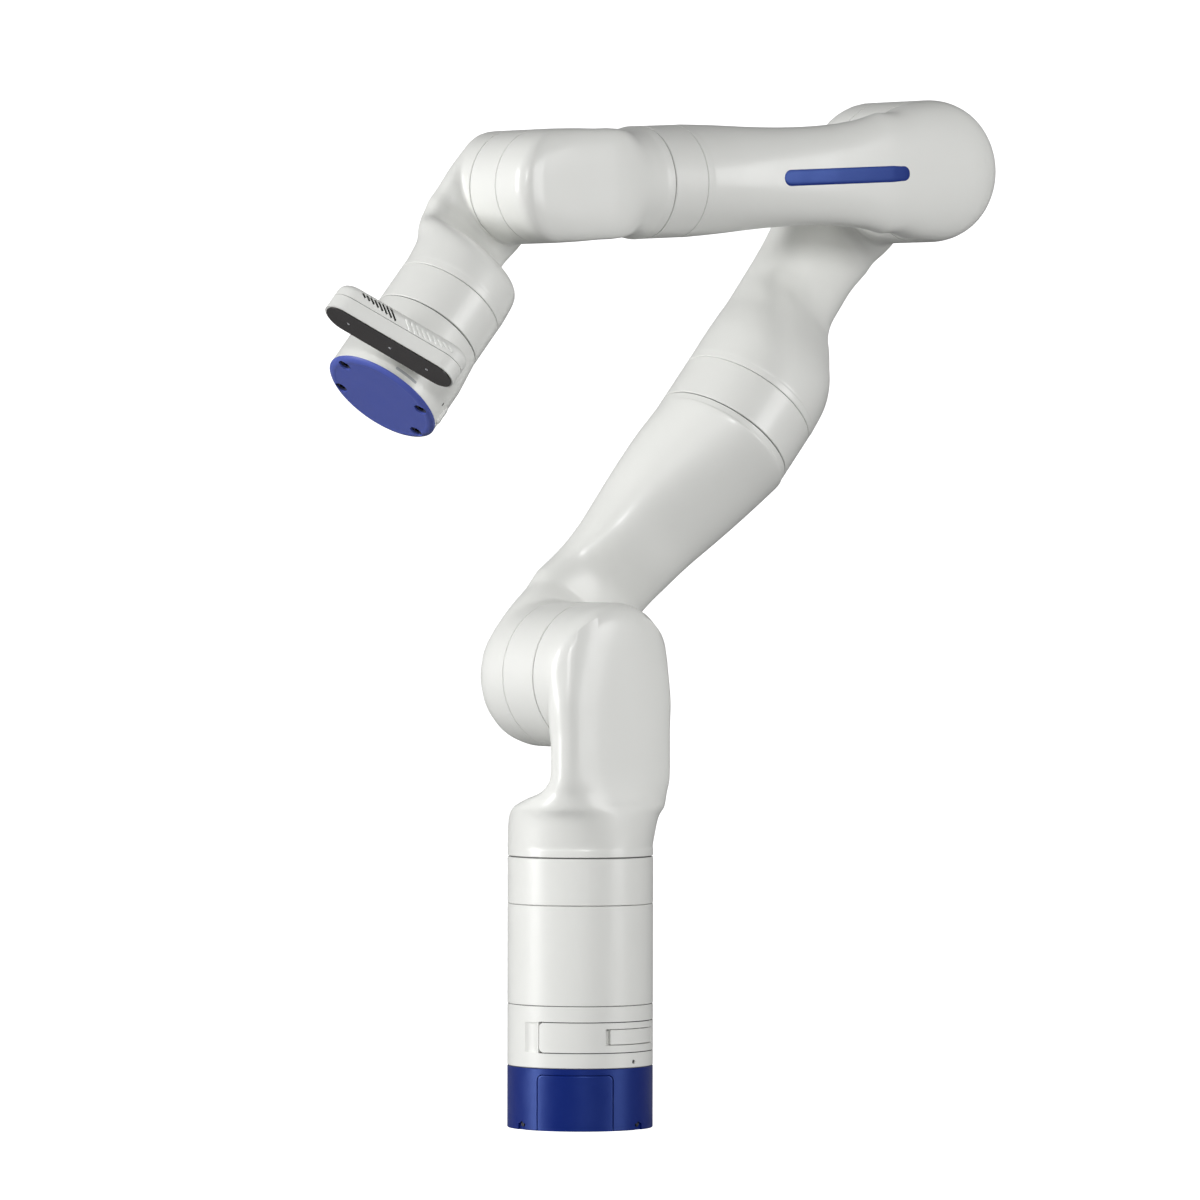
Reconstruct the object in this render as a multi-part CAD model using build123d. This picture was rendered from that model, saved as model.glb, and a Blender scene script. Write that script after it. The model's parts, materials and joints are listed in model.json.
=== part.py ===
from build123d import *
import os
from math import atan2, copysign, cos, degrees, hypot, pi, radians, sin, sqrt

# Seven-axis collaborative robot arm, millimetres, +Z up, front towards -Y.
# Origin: centre of the base's mounting face. The arm is modelled in a raised working pose.

# ---- driving dimensions -------------------------------------------------------------------
R_BIG = 45.9            # joints 1 to 4
R_SMALL = 35.75         # joints 5 to 7
WALL = 3.0              # moulded and cast shells
GAP = 0.8               # running gap beside each turning band
SEAM = 0.4              # fixed seam between a band and its own shell
FIT = 0.3               # clearance between a spigot or plate and the shell around it
CHAMFER = 0.35          # edge break on the bands
CUT = 1.0               # how far a cutting solid runs past what it cuts

BIG_OFFSET = 6.375      # arm axis beside the joint plane, arms and forearm
SHOULDER_OFFSET = 5.375
WRIST_OFFSET = 0.175

# Each joint: position and turn from the previous joint's frame, and the angle of the stored pose.
CHAIN = [
    ((0, 0, 156.43), (180, 0, 0), 141.6),
    ((0, SHOULDER_OFFSET, -128.38), (90, 0, 0), -39.9),
    ((0, -210.38, -BIG_OFFSET), (-90, 0, 0), 180.0),
    ((0, BIG_OFFSET, -210.38), (90, 0, 0), -132.9),
    ((0, -208.43, -BIG_OFFSET), (-90, 0, 0), 180.0),
    ((0, WRIST_OFFSET, -105.93), (90, 0, 0), 46.3),
    ((0, -105.93, -WRIST_OFFSET), (-90, 0, 0), -40.2),
]

# Each band: radius, its fixed seam and its turning gap, as places along the joint's axis.
BANDS = {
    1: (R_BIG, 15.5, -14.9),
    2: (R_BIG, -16.0, 15.0),
    3: (R_BIG, -15.0, 15.7),
    4: (R_BIG, 15.2, -15.2),
    5: (R_SMALL, 12.1, -14.8),
    6: (R_SMALL, 13.4, -13.3),
    7: (R_SMALL, 11.1, -16.3),
}

# Base heights
COVER_TOP = 39.4
CLAMP_TOP = 78.4
PLATE_THICK = 8.0
BAND_1_BOTTOM = 156.43 - BANDS[1][1]

# Wrist interface
FLANGE_FACE = -61.5
BRACELET_END = -68.0
CAP_FACE = -70.2
R_BRACELET = 38.0
R_CAP = 38.1


# ---- frames -------------------------------------------------------------------------------
def joint_frames():
    """Frames of the seven joints: before and after each joint's own turn."""
    before = []
    after = []
    frame = Location((0, 0, 0))
    for offset, turn, angle in CHAIN:
        fixed = frame * Location(offset, turn)
        frame = fixed * Location((0, 0, 0), (0, 0, angle))
        before.append(fixed)
        after.append(frame)
    return before, after


BEFORE, AFTER = joint_frames()


# ---- link shells --------------------------------------------------------------------------
# A link is a disc at one joint and a round arm end at the next. In its own frame the disc's
# axis is +Z, the arm runs along +X, and a section plane swings from the disc's open face
# about a pivot in the crotch, then travels along the arm.
# A station is (x, inner z, outer z, half width, squareness inside, squareness outside).
FAN_ANGLES = (0, 7, 14, 20, 26, 32, 38, 45, 53, 62, 71, 80)
SECTION_POINTS = 18

LINKS = {
    "shoulder_shell": dict(
        radius=R_BIG, face=BANDS[2][2], cap=48.4, edge=10.0, crotch=3.5, flat=4.0,
        stations=[(49.4, 18.5, 48.4, 44.0, 2.1, 4.0), (60, 18.2, 48.4, 44.0, 2.1, 4.0),
                  (67, 14.5, 48.6, 44.2, 2.1, 3.8), (73, 3.0, 49.0, 44.6, 2.1, 3.5),
                  (78, -16.0, 49.8, 46.2, 2.1, 3.3), (83, -30.0, 50.9, 47.0, 2.1, 3.0),
                  (90, -38.6, 51.4, 46.3, 2.0, 2.4)],
        end=(128.38 + BANDS[1][2], SHOULDER_OFFSET, R_BIG)),
    "lower_arm_shell": dict(
        radius=R_BIG, face=-BANDS[2][1], cap=52.4, edge=20.0, crotch=6.0, flat=2.7,
        stations=[(51.9, 22.0, 52.4, 40.5, 2.2, 2.7), (70, 20.5, 52.4, 36.4, 2.3, 2.7),
                  (84, 14.5, 52.4, 35.2, 2.4, 2.7), (98, 7.4, 52.5, 35.8, 2.4, 2.6),
                  (118, -0.5, 52.6, 38.0, 2.4, 2.5), (141, -12.5, 52.8, 41.4, 2.3, 2.3),
                  (165, -26.0, 52.7, 44.6, 2.1, 2.1)],
        end=(210.38 - BANDS[3][2], BIG_OFFSET, R_BIG)),
    "upper_arm_shell": dict(
        radius=R_BIG, face=BANDS[4][1], cap=52.4, edge=20.0, crotch=6.0, flat=2.7,
        stations=[(51.9, 21.2, 52.4, 40.5, 2.2, 2.7), (70, 19.0, 52.0, 36.9, 2.3, 2.7),
                  (86, 15.5, 51.6, 35.2, 2.4, 2.7), (102, 12.6, 51.3, 34.9, 2.4, 2.6),
                  (115, 6.0, 51.0, 36.0, 2.4, 2.5), (128, -5.5, 50.8, 38.0, 2.4, 2.4),
                  (141, -16.5, 50.7, 40.0, 2.3, 2.3), (155, -27.5, 50.8, 43.0, 2.2, 2.2),
                  (170, -35.5, 51.4, 45.1, 2.1, 2.1)],
        end=(210.38 + BANDS[3][1], BIG_OFFSET, R_BIG)),
    "forearm_shell": dict(
        radius=R_BIG, face=-BANDS[4][2], cap=52.4, edge=20.0, crotch=6.0, flat=2.7,
        stations=[(51.9, 21.2, 52.3, 38.6, 2.2, 2.7), (66, 19.5, 51.8, 35.0, 2.3, 2.7),
                  (84, 15.5, 50.9, 32.6, 2.4, 2.6), (104, 10.0, 49.6, 31.6, 2.4, 2.5),
                  (125, 1.5, 47.8, 31.7, 2.3, 2.4), (146, -9.5, 45.8, 32.8, 2.2, 2.3),
                  (168, -21.5, 43.6, 34.6, 2.1, 2.1)],
        end=(208.43 - BANDS[5][1], BIG_OFFSET, R_SMALL)),
    "wrist_1_shell": dict(
        radius=R_SMALL, face=BANDS[6][1], cap=42.0, edge=8.0, crotch=4.0, flat=3.4,
        stations=[(39.75, 17.4, 42.0, 34.8, 2.2, 3.4), (49, 15.2, 41.4, 34.2, 2.2, 3.2),
                  (56, 6.5, 40.6, 33.6, 2.2, 3.0), (62, -7.5, 39.6, 33.2, 2.2, 2.7),
                  (68, -20.5, 38.4, 33.2, 2.2, 2.4), (74, -29.5, 37.2, 34.2, 2.1, 2.2)],
        end=(105.93 + BANDS[5][2], WRIST_OFFSET, R_SMALL)),
    "wrist_2_shell": dict(
        radius=R_SMALL, face=-BANDS[6][2], cap=42.0, edge=8.0, crotch=4.0, flat=3.4,
        stations=[(39.75, 17.3, 42.0, 33.4, 2.2, 3.4), (46.5, 15.6, 41.6, 32.4, 2.2, 3.2),
                  (51.5, 11.5, 41.2, 32.6, 2.2, 3.0), (55.5, 0.5, 40.8, 33.8, 2.2, 2.8),
                  (60, -14.0, 40.3, 35.2, 2.2, 2.6), (65.5, -26.0, 39.3, 35.7, 2.1, 2.3),
                  (73, -33.0, 37.6, 35.75, 2.0, 2.1)],
        end=(105.93 - BANDS[7][1], WRIST_OFFSET, R_SMALL)),
}
END_BARREL = 8.0        # length of true cylinder at the arm end


def power(value, squareness):
    return copysign(abs(value) ** (2 / squareness), value)


def section(plane, low, high, half_width, inside, outside):
    """A closed smooth curve on the plane, between low and high."""
    middle = (low + high) / 2
    half_height = (high - low) / 2
    points = []
    for step in range(SECTION_POINTS):
        angle = 2 * pi * step / SECTION_POINTS
        squareness = outside if sin(angle) > 0 else inside
        across = half_width * power(cos(angle), squareness)
        along = middle + half_height * power(sin(angle), squareness)
        points.append(plane.from_local_coords((across, along, 0)))
    parameters = [step / SECTION_POINTS for step in range(SECTION_POINTS + 1)]
    return Edge.make_spline(points, periodic=True, parameters=parameters)


def reach(angle, pivot, radius, depth, edge):
    """Distance from the crotch pivot to the disc's rounded profile."""
    slope = radians(angle)
    wall_hit = (pivot + radius) / cos(slope)
    if wall_hit * sin(slope) <= depth - edge:
        return wall_hit
    cap_hit = depth / sin(slope)
    if pivot - cap_hit * cos(slope) >= edge - radius:
        return cap_hit
    centre_x = pivot + radius - edge
    centre_z = depth - edge
    along = centre_x * cos(slope) + centre_z * sin(slope)
    return along + sqrt(along ** 2 - hypot(centre_x, centre_z) ** 2 + edge ** 2)


def ease(value):
    value = min(max(value, 0), 1)
    return value * value * (3 - 2 * value)


def refine(stations, parts=3):
    """Stations with smooth steps added between them, so that the arm has no flats."""
    fine = []
    last = len(stations) - 1
    for k in range(last):
        before, start, stop, after = (stations[min(max(k + n, 0), last)] for n in (-1, 0, 1, 2))
        for part in range(parts):
            t = part / parts
            fine.append(tuple(
                b + (c - a) / 2 * t + (a - 2.5 * b + 2 * c - d / 2) * t ** 2
                + (1.5 * (b - c) + (d - a) / 2) * t ** 3
                for a, b, c, d in zip(before, start, stop, after)))
    return fine + [stations[last]]


def link_sections(link, inset):
    """Section curves of a link from its disc face to its arm end, drawn in by inset."""
    radius = link["radius"] - inset
    pivot = link["radius"] + link["crotch"]
    face = link["face"]
    first = link["stations"][0]
    depth = link["cap"] - face - inset
    edge = link["edge"] - inset / 2
    curves = []
    for angle in FAN_ANGLES:
        slope = radians(angle)
        plane = Plane((pivot, 0, face), x_dir=(0, 1, 0), z_dir=(sin(slope), 0, cos(slope)))
        blend = ease((angle - 12) / 55)
        half_width = radius + (first[3] - inset - radius) * blend
        outside = 2 + (link["flat"] - 2) * ease((angle - 15) / 30)
        inside = 2 + (first[4] - 2) * blend
        high = reach(angle, pivot, radius, depth, edge)
        curves.append(section(plane, link["crotch"] + inset, high, half_width, inside, outside))
    end, centre, end_radius = link["end"]
    barrel = (centre - end_radius, centre + end_radius, end_radius, 2, 2)
    stations = link["stations"] + [(end - END_BARREL, *barrel), (end - END_BARREL / 2, *barrel)]
    for x, low, high, half_width, inside, outside in refine(stations) + [(end, *barrel)]:
        plane = Plane((x, 0, 0), x_dir=(0, 1, 0), z_dir=(1, 0, 0))
        curves.append(section(plane, low + inset, high - inset, half_width - inset, inside, outside))
    return curves


def skin(curves):
    return [Face.make_surface_from_curves(a, b) for a, b in zip(curves, curves[1:])]


def rim(outer, inner):
    return Face(Wire([outer]), [Wire([inner])])


def link_shell(name):
    """Hollow casting, open at the disc face and at the arm end."""
    outer = link_sections(LINKS[name], 0)
    inner = link_sections(LINKS[name], WALL)
    faces = skin(outer) + skin(inner) + [rim(outer[0], inner[0]), rim(outer[-1], inner[-1])]
    return Solid(Shell(faces))


def on_disc_joint(number):
    """Frame of a link whose disc is at its own joint and whose arm runs on to the next."""
    return AFTER[number - 1] * Plane((0, 0, 0), x_dir=(0, -1, 0), z_dir=(0, 0, -1)).location


def on_next_joint(number):
    """Frame of a link whose disc is at the next joint and whose arm comes from its own."""
    return BEFORE[number] * Plane((0, 0, 0), x_dir=(0, 1, 0), z_dir=(0, 0, 1)).location


DISC_JOINT_LINKS = {2: "lower_arm_shell", 4: "forearm_shell", 6: "wrist_2_shell"}
NEXT_JOINT_LINKS = {1: "shoulder_shell", 3: "upper_arm_shell", 5: "wrist_1_shell"}


def link_shells():
    placed = {name: on_disc_joint(n) * link_shell(name) for n, name in DISC_JOINT_LINKS.items()}
    placed |= {name: on_next_joint(n) * link_shell(name) for n, name in NEXT_JOINT_LINKS.items()}
    return placed


# ---- round pieces -------------------------------------------------------------------------
def disc(radius, low, high):
    return Pos(0, 0, (low + high) / 2) * Cylinder(radius, high - low)


def tube(outer, inner, low, high):
    return disc(outer, low, high) - disc(inner, low - CUT, high + CUT)


def sector(outer, inner, low, high, start, stop):
    """Part of a tube between two bearings, measured from -Y towards +X."""
    axis_centred = (Align.NONE, Align.NONE, Align.MIN)
    wedge = Cylinder(outer, high - low, arc_size=stop - start, align=axis_centred)
    return Pos(0, 0, low) * Rot(0, 0, start - 90) * wedge - disc(inner, low - CUT, high + CUT)


def around(radius, bearing):
    angle = radians(bearing - 90)
    return Pos(radius * cos(angle), radius * sin(angle), 0)


def radial_rod(radius, length, bearing, centre, height):
    """A round rod lying along a bearing, with its middle at the given radius and height."""
    rod = Cylinder(radius, length, rotation=(90, 0, 0))
    return Rot(0, 0, bearing) * Pos(0, -centre, height) * rod


def broken_edges(solid, radius, size):
    """Chamfer the circular edges of the given radius."""
    round_edges = solid.edges().filter_by(GeomType.CIRCLE)
    return chamfer([e for e in round_edges if abs(e.radius - radius) < 0.01], size)


# ---- joint actuators ----------------------------------------------------------------------
# Along each joint: 0 is the fixed seam, the band's width is where the turning gap lies.
BORE = 6.0              # hollow shaft for the wiring
BULKHEAD = 4.0
SPIGOT = 5.0
BEARING_WIDTH = 7.3
BEARING_RADIAL = 9.7
BEARING_END = 1.2
PLATE = 4.0


def actuator(number):
    """Band, bearing, drive unit and output flange of one joint, in that joint's frame."""
    radius, fixed, turning = BANDS[number]
    width = abs(turning - fixed)
    inside = radius - WALL
    fitted = inside - FIT
    bearing_low = width - BEARING_END - BEARING_WIDTH
    bearing_inner = fitted - BEARING_RADIAL

    band = tube(radius, inside, SEAM, width - GAP)
    band = broken_edges(band, radius, CHAMFER)
    band += tube(inside + 0.5, inside - WALL, SEAM, BULKHEAD)
    band += tube(fitted, inside - WALL, -SPIGOT, BULKHEAD)
    drive = tube(fitted, BORE, BULKHEAD + FIT, bearing_low - FIT)
    bearing = tube(fitted, bearing_inner, bearing_low, width - BEARING_END)
    flange = tube(bearing_inner - FIT, BORE, bearing_low, width + PLATE)
    flange += tube(fitted, BORE, width + FIT, width + PLATE)

    flip = 180 if turning < fixed else 0
    frame = AFTER[number - 1] * Location((0, 0, fixed), (flip, 0, 0))
    pieces = {"band": band, "drive_unit": drive, "bearing": bearing, "output_flange": flange}
    return {f"joint_{number}_{name}": frame * piece for name, piece in pieces.items()}


def actuators():
    placed = {}
    for number in BANDS:
        placed |= actuator(number)
    return placed


# ---- base ---------------------------------------------------------------------------------
COVER_WALL = 4.5
COVER_INNER = R_BIG - COVER_WALL
COVER_DECK = 4.0
CLAMP_INNER = 38.8
SHELL_INNER = R_BIG - WALL
COLLAR = (25.0, 21.0)   # outer and inner radius of the docking collar
COLLAR_TOP = 50.0
CABLE_HOLE_R = 8.0
BOLT_PCD = 64.0
BOLT_HOLE_R = 3.3
BOLT_BEARINGS = (45, 135, 225, 315)

COVER_SCREW_BEARINGS = (-127, -53, 53, 127)
COVER_SCREW_R = 1.6
COVER_SCREW_LENGTH = 6.0
COVER_SCREW_Z = 3.6
COVER_HOLE_LENGTH = 12.0
SCREW_PLAY = 0.1
NOTCH = (7.0, 3.0, 5.0)

PANEL_FROM = -36.0
PANEL_TO = 27.0
PANEL_TOP = 35.0
PANEL_CORNER = 3.5
PANEL_DEPTH = 2.4
PANEL_PLAY = 0.25
REAR_FROM = 148.0
REAR_TO = 212.0
REAR_LOW = 6.0
REAR_TOP = 34.0
REAR_RECESS = 0.6
REAR_PLAY = 0.4         # degrees at each side

SOCKET_Z = 20.0
SOCKET_BACK = 29.0
CAVITY_BACK = 32.0
INLET_X = 7.5
INLET_R = 6.5
INLET_CAVITY_R = 4.6
INLET_FACE = 44.0
NETWORK_X = -10.5
NETWORK_SIZE = (15.0, 13.0)
NETWORK_CAVITY = (11.8, 8.0)
NETWORK_FACE = 43.0
SOCKET_PLAY = 0.2
BUTTON_X = 18.6
BUTTON_R = 3.5
BUTTON_FACE = 41.4
BUTTON_LENGTH = 4.2
BUTTON_EDGE = 0.5
PANEL_CUT = (25.0, 50.0)

LEVER_FROM = -34.0
LEVER_TO = 95.0
LEVER_LOW = 49.2
LEVER_TOP = 67.8
LEVER_INNER = 42.6
LEVER_GAP = 0.6
LEVER_ROUND = 3.0
SLOT_FROM = 20.6
SLOT_TO = 80.0
SLOT_LOW = 53.7
SLOT_TOP = 64.0
BOSS_FROM = 24.8
BOSS_TO = 78.0
HINGE_BEARING = 96.5
HINGE_RADIUS = 43.6
KNUCKLE_R = 2.1
KNUCKLE_PLAY = 1.1      # clears the lever's corners as it swings open
PIN_R = 1.0
PIN_PLAY = 0.08
PIN_REACH = 3.5         # pin beyond the lever at each end
SET_SCREW_BEARING = 47.0
SET_SCREW_Z = 43.0
SET_SCREW_R = 1.25
SET_SCREW_LENGTH = 4.5
SET_SCREW_DEPTH = 3.2
SCOOP_BEARING = -42.0
SCOOP_R = 12.0
SCOOP_DEPTH = 1.6

BOARD_Z = (100.0, 102.0)
BOARD_BORE = 10.0


def cover_screw_holes():
    return [radial_rod(COVER_SCREW_R + SCREW_PLAY, COVER_HOLE_LENGTH, bearing, COVER_INNER, COVER_SCREW_Z)
            for bearing in COVER_SCREW_BEARINGS]


def mounting_plate():
    """Foot plate with four bolt holes and the collar that the arm docks on."""
    plate = disc(COVER_INNER - FIT, 0, PLATE_THICK) + tube(*COLLAR, PLATE_THICK, COLLAR_TOP)
    for bearing in BOLT_BEARINGS:
        plate -= around(BOLT_PCD / 2, bearing) * Cylinder(BOLT_HOLE_R, 3 * PLATE_THICK)
    for hole in cover_screw_holes():
        plate -= hole
    return plate - disc(CABLE_HOLE_R, -CUT, PLATE_THICK + CUT)


def cover_screws():
    middle = COVER_INNER + SCREW_PLAY + 0.5
    return Compound([radial_rod(COVER_SCREW_R, COVER_SCREW_LENGTH, bearing, middle, COVER_SCREW_Z)
                     for bearing in COVER_SCREW_BEARINGS])


def front_panel(grow=0.0):
    """Curved panel with two rounded top corners; grow makes the recess that it sits in."""
    degrees_out = degrees(grow / R_BIG)
    past = 4 * grow
    panel = sector(R_BIG + past, R_BIG - PANEL_DEPTH - grow, -past, PANEL_TOP + grow,
                   PANEL_FROM - degrees_out, PANEL_TO + degrees_out)
    corners = [e for e in panel.edges().filter_by(GeomType.LINE)
               if e.center().Z > PANEL_TOP - 1 and abs(e.tangent_at(0).Z) < 0.1]
    return fillet(corners, PANEL_CORNER + grow)


def base_cover():
    spigot = CLAMP_INNER - FIT
    deck = COVER_TOP - COVER_DECK
    cover = disc(R_BIG, 0, COVER_TOP - SEAM)
    cover = broken_edges(cover, R_BIG, CHAMFER) - disc(COVER_INNER, -CUT, deck)
    cover += tube(spigot, spigot - WALL, deck, COVER_TOP + SPIGOT)
    cover -= disc(spigot - WALL, -CUT, COVER_TOP + SPIGOT + CUT)
    cover -= front_panel(PANEL_PLAY)
    cover -= sector(R_BIG + CUT, COVER_INNER - CUT, REAR_LOW, REAR_TOP, REAR_FROM, REAR_TO)
    for hole, bearing in zip(cover_screw_holes(), COVER_SCREW_BEARINGS):
        notch = Pos(0, -R_BIG, COVER_SCREW_Z - 2) * Box(*NOTCH)
        cover -= Rot(0, 0, bearing) * notch + hole
    return cover


def along_y(shape_length, x, low, high):
    return Pos(x, (low + high) / 2, SOCKET_Z) * shape_length(high - low)


def round_bar(radius):
    return lambda length: Cylinder(radius, length, rotation=(90, 0, 0))


def square_bar(size, grow=0.0):
    return lambda length: Box(size[0] + 2 * grow, length, size[1] + 2 * grow)


def connector_panel():
    panel = sector(R_BIG - REAR_RECESS, COVER_INNER + SOCKET_PLAY, REAR_LOW + FIT, REAR_TOP - FIT,
                   REAR_FROM + REAR_PLAY, REAR_TO - REAR_PLAY)
    panel -= along_y(round_bar(INLET_R + SOCKET_PLAY), INLET_X, *PANEL_CUT)
    panel -= along_y(square_bar(NETWORK_SIZE, SOCKET_PLAY), NETWORK_X, *PANEL_CUT)
    return panel - along_y(round_bar(BUTTON_R + FIT), BUTTON_X, *PANEL_CUT)


def power_inlet():
    inlet = along_y(round_bar(INLET_R), INLET_X, SOCKET_BACK, INLET_FACE)
    return inlet - along_y(round_bar(INLET_CAVITY_R), INLET_X, CAVITY_BACK, INLET_FACE + CUT)


def network_socket():
    socket = along_y(square_bar(NETWORK_SIZE), NETWORK_X, SOCKET_BACK, NETWORK_FACE)
    return socket - along_y(square_bar(NETWORK_CAVITY), NETWORK_X, CAVITY_BACK, NETWORK_FACE + CUT)


def power_button():
    button = along_y(round_bar(BUTTON_R), BUTTON_X, BUTTON_FACE - BUTTON_LENGTH, BUTTON_FACE)
    return chamfer(button.edges().group_by(Axis.Y)[-1], BUTTON_EDGE)


def hinge_axis():
    return around(HINGE_RADIUS, HINGE_BEARING)


def clamp_band():
    """Docking band: the lever lies in its pocket and a boss fills the lever's slot."""
    band = disc(R_BIG, COVER_TOP, CLAMP_TOP - SEAM)
    band = broken_edges(band, R_BIG, CHAMFER)
    band += disc(SHELL_INNER - FIT, CLAMP_TOP - CUT, CLAMP_TOP + SPIGOT)
    band -= disc(CLAMP_INNER, COVER_TOP - CUT, CLAMP_TOP + SPIGOT + CUT)
    pocket_low = LEVER_LOW - LEVER_GAP
    pocket_top = LEVER_TOP + LEVER_GAP
    turn = degrees(LEVER_GAP / R_BIG)
    band -= sector(R_BIG + CUT, LEVER_INNER - LEVER_GAP, pocket_low, pocket_top,
                   LEVER_FROM - turn, HINGE_BEARING)
    band -= hinge_axis() * disc(KNUCKLE_R + KNUCKLE_PLAY, pocket_low, pocket_top)
    band += sector(R_BIG - LEVER_GAP, LEVER_INNER - CUT, SLOT_LOW + LEVER_GAP, SLOT_TOP - LEVER_GAP,
                   BOSS_FROM, BOSS_TO)
    band -= hinge_axis() * disc(PIN_R + PIN_PLAY, LEVER_LOW - PIN_REACH - FIT, LEVER_TOP + PIN_REACH + FIT)
    scoop = around(R_BIG + SCOOP_R - SCOOP_DEPTH, SCOOP_BEARING) * disc(SCOOP_R, LEVER_LOW, LEVER_TOP)
    screw_hole = radial_rod(SET_SCREW_R + PIN_PLAY, COVER_HOLE_LENGTH, SET_SCREW_BEARING, R_BIG, SET_SCREW_Z)
    return band - scoop - screw_hole


def clamp_lever():
    lever = sector(R_BIG, LEVER_INNER, LEVER_LOW, LEVER_TOP, LEVER_FROM, LEVER_TO)
    ends = [e for e in lever.edges().filter_by(GeomType.LINE)
            if abs(e.tangent_at(0).Z) < 0.1 and e.center().X < 0]
    lever = fillet(ends, LEVER_ROUND)
    lever -= sector(R_BIG + CUT, LEVER_INNER - CUT, SLOT_LOW, SLOT_TOP, SLOT_FROM, SLOT_TO)
    lever += hinge_axis() * disc(KNUCKLE_R, LEVER_LOW, LEVER_TOP)
    return lever - hinge_axis() * disc(PIN_R + PIN_PLAY, LEVER_LOW - CUT, LEVER_TOP + CUT)


def lever_pin():
    return hinge_axis() * disc(PIN_R, LEVER_LOW - PIN_REACH, LEVER_TOP + PIN_REACH)


def set_screw():
    middle = R_BIG - SET_SCREW_DEPTH
    return radial_rod(SET_SCREW_R, SET_SCREW_LENGTH, SET_SCREW_BEARING, middle, SET_SCREW_Z)


def base_shell():
    shell = disc(R_BIG, CLAMP_TOP, BAND_1_BOTTOM)
    return broken_edges(shell, R_BIG, CHAMFER) - disc(SHELL_INNER, 0, BAND_1_BOTTOM + CUT)


def controller_board():
    return tube(SHELL_INNER - 2 * PANEL_PLAY, BOARD_BORE, *BOARD_Z)


def base():
    return {
        "mounting_plate": mounting_plate(),
        "base_cover": base_cover(),
        "cover_screws": cover_screws(),
        "front_panel": front_panel(),
        "connector_panel": connector_panel(),
        "power_inlet": power_inlet(),
        "network_socket": network_socket(),
        "power_button": power_button(),
        "clamp_band": clamp_band(),
        "clamp_lever": clamp_lever(),
        "lever_pin": lever_pin(),
        "set_screw": set_screw(),
        "base_shell": base_shell(),
        "controller_board": controller_board(),
    }


# ---- bracelet and vision module -----------------------------------------------------------
# In joint 7's frame the tool points along -Z and the vision module stands off along -Y.
# The tool flange lies inside the bracelet's rim, under the end cap's plug.
BRACELET_TOP = BANDS[7][2]
BRACELET_TAPER = -38.0
FLANGE_THICK = 6.0
RIM_WALL = 1.5          # bracelet's wall beside the end cap's plug
CAP_RIM = 0.3
CAP_DOME = 5.6
CAP_SCREW_X = 27.3
CAP_SCREW_Y = 15.8
CAP_SCREW_R = 2.0
CAP_HEAD_R = 3.8
CAP_HEAD_RECESS = 1.2
CAP_BORE_R = 4.3
CAP_BORE_DEPTH = 4.4
HEX_R = 2.0
HEX_DEPTH = 1.6

VISION_CENTRE = (-2.9, -60.0)
VISION_LENGTH = 92.0
VISION_HEIGHT = 26.0
VISION_BACK = -44.5
VISION_SPLIT = -54.5
VISION_FACE = -64.5
VISION_WALL = 1.2
VISION_ROUND = 5.0
VISION_FOOT = (50.0, 16.0)
WINDOW_THICK = 1.5
WINDOW_RECESS = 0.7
WINDOW_PLAY = 0.1
BOARD_THICK = 1.0
BOARD_WIDTH = 16.0
VENT_COUNT = 8
VENT_WIDTH = 1.2
FIRST_VENT = ((-32.8, -47.4), (-29.7, -49.4))
LAST_VENT = ((-13.4, -46.4), (-6.0, -52.6))
LENS_PLACES = (-28.8, 0.0, 27.4)
LENS_R = 3.2
LENS_LENGTH = 4.0


def bracelet_shell():
    outline = Polyline((R_SMALL - WALL, BRACELET_TOP), (R_SMALL, BRACELET_TOP),
                       (R_BRACELET, BRACELET_TAPER), (R_BRACELET, BRACELET_END),
                       (R_BRACELET - RIM_WALL, BRACELET_END), (R_BRACELET - RIM_WALL, FLANGE_FACE),
                       (R_BRACELET - WALL, FLANGE_FACE), (R_BRACELET - WALL, BRACELET_TAPER),
                       (R_SMALL - WALL, BRACELET_TAPER + 8), close=True)
    return revolve(Plane.XZ * make_face(outline), Axis.Z)


def cap_places():
    return [(x, y) for x in (-CAP_SCREW_X, CAP_SCREW_X) for y in (-CAP_SCREW_Y, CAP_SCREW_Y)]


def tool_flange():
    flange = tube(R_BRACELET - WALL - FIT, BORE, FLANGE_FACE + SEAM, FLANGE_FACE + FLANGE_THICK)
    for x, y in cap_places():
        flange -= Pos(x, y, FLANGE_FACE) * Cylinder(CAP_SCREW_R + SCREW_PLAY, 4 * FLANGE_THICK)
    return flange


def end_cap():
    """Shallow domed cover with a plug inside the bracelet's rim and four counterbores."""
    plug = R_BRACELET - RIM_WALL - FIT
    rim_low = BRACELET_END - CAP_RIM
    flat = R_CAP - CAP_DOME
    swell = (R_CAP - CAP_DOME * (1 - sqrt(0.5)), rim_low - (rim_low - CAP_FACE) * sqrt(0.5))
    upper = Polyline((flat, CAP_FACE), (0, CAP_FACE), (0, FLANGE_FACE), (plug, FLANGE_FACE),
                     (plug, BRACELET_END), (R_CAP, BRACELET_END), (R_CAP, rim_low))
    dome = ThreePointArc((R_CAP, rim_low), swell, (flat, CAP_FACE))
    cap = revolve(Plane.XZ * make_face([upper, dome]), Axis.Z)
    for x, y in cap_places():
        cap -= Pos(x, y, 0) * disc(CAP_BORE_R, CAP_FACE - 1, CAP_FACE + CAP_BORE_DEPTH)
        cap -= Pos(x, y, 0) * disc(CAP_SCREW_R + SCREW_PLAY, CAP_FACE, FLANGE_FACE + 1)
    return cap


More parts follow.
